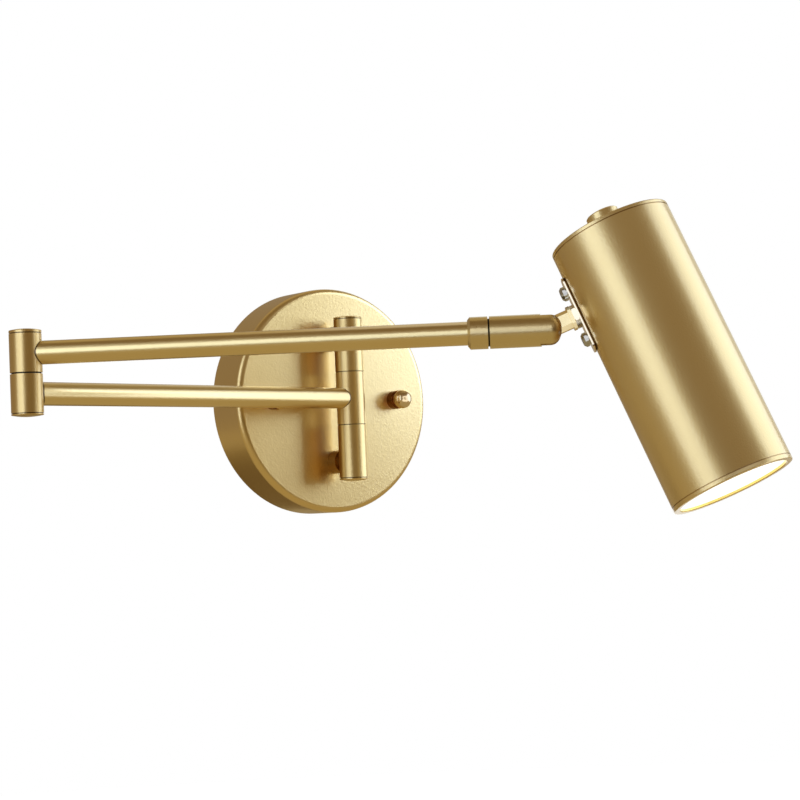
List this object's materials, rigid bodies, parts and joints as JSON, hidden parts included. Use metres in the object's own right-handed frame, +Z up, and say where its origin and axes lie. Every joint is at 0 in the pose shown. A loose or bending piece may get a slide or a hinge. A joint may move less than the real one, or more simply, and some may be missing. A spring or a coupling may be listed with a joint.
{
  "type": "swing-arm wall lamp",
  "caption": "Satin gold wall lamp with a round canopy, a jointed swing arm and a tilting, turning cylinder shade with a push button on top.",
  "frame": {"origin": "centre of the canopy's back rim, on the wall", "axes": "+Y into the wall, -Y out from the wall to the room, +Z up, +X to the right seen from the room"},
  "size_m": [0.2812, 0.3123, 0.1435],
  "materials": {
    "gold_canopy": "satin gold plate on spun steel",
    "gold_arm": "satin gold plate on drawn steel tube",
    "gold_knuckle": "turned brass, bead-blasted and gold plated",
    "gold_cap": "turned brass, satin gold",
    "gold_shade": "bead-blasted aluminium, anodised gold",
    "gold_button": "turned aluminium, anodised gold",
    "polished_brass": "polished and lacquered",
    "zinc_steel": "bright zinc plate",
    "pivot_steel": "drawn steel",
    "black_nylon": "black nylon",
    "opal_acrylic": "opal acrylic, fine satin face",
    "white_plastic": "white moulded plastic",
    "terminal_plastic": "ivory moulded plastic",
    "bare_aluminium": "bare extruded aluminium",
    "switch_plastic": "black moulded plastic",
    "nickel_nut": "nickel plate"
  },
  "bodies": {
    "wall_mount": {"mounting_bar": "zinc_steel", "canopy_studs": "zinc_steel", "stud_lock_nuts": "zinc_steel", "canopy": "gold_canopy", "finial_nuts": "polished_brass", "upper_standoff": "gold_knuckle", "lower_standoff": "gold_knuckle", "standoff_nuts": "zinc_steel", "upper_knuckle": "gold_knuckle", "lower_knuckle": "gold_knuckle", "post_pivot_tube": "pivot_steel", "post_top_cap": "gold_cap", "post_bottom_cap": "gold_cap", "post_washers": "black_nylon", "led_driver": "white_plastic", "terminal_block": "terminal_plastic"},
    "lower_arm": {"arm_knuckle": "gold_knuckle", "lower_arm_tube": "gold_arm", "elbow_lower_knuckle": "gold_knuckle", "elbow_pivot_tube": "pivot_steel", "elbow_bottom_cap": "gold_cap", "elbow_washer": "black_nylon", "elbow_retaining_nut": "pivot_steel"},
    "upper_arm": {"elbow_upper_knuckle": "gold_knuckle", "elbow_top_cap": "gold_cap", "upper_arm_tube": "gold_arm", "arm_collar": "gold_knuckle"},
    "fork": {"swivel_fork": "gold_knuckle", "swivel_washer": "black_nylon", "swivel_spindle": "pivot_steel", "spindle_nut": "pivot_steel", "tilt_screw": "zinc_steel"},
    "head": {"tilt_tongue": "polished_brass", "tongue_lock_nut": "polished_brass", "bracket_plate": "polished_brass", "bracket_screws": "zinc_steel", "backing_plate": "zinc_steel", "shank_nut": "zinc_steel", "shade_tube": "gold_shade", "top_lid": "gold_shade", "bezel_ring": "gold_shade", "diffuser": "opal_acrylic", "reflector": "white_plastic", "led_board": "bare_aluminium", "heat_sink": "bare_aluminium", "switch_body": "switch_plastic", "switch_ring_nut": "nickel_nut"},
    "button": {"switch_button": "gold_button"}
  },
  "joints": [
    {"name": "wall_swing", "type": "hinge", "parent": "wall_mount", "child": "lower_arm", "pos_m": [0, -0.041, 0], "axis": [0, 0, 1], "range_deg": [-4.5, 162.5]},
    {"name": "elbow_swing", "type": "hinge", "parent": "lower_arm", "child": "upper_arm", "pos_m": [-0.20621, -0.08071, 0], "axis": [0, 0, -1], "range_deg": [-33, 290]},
    {"name": "head_swivel", "type": "hinge", "parent": "upper_arm", "child": "fork", "pos_m": [-0.01493, -0.22433, 0.0186], "axis": [0.7997, -0.6004, 0], "range_deg": [-170, 170]},
    {"name": "head_tilt", "type": "hinge", "parent": "fork", "child": "head", "pos_m": [-0.01493, -0.22433, 0.0186], "axis": [-0.6001, -0.7992, 0.0349], "range_deg": [-91, 47.5]},
    {"name": "switch_press", "type": "slide", "parent": "head", "child": "button", "axis": [0.1922, -0.3541, -0.9152], "range_m": [0, 0.0023], "stiffness_N_per_m": 800, "springref_m": -0.0005}
  ]
}
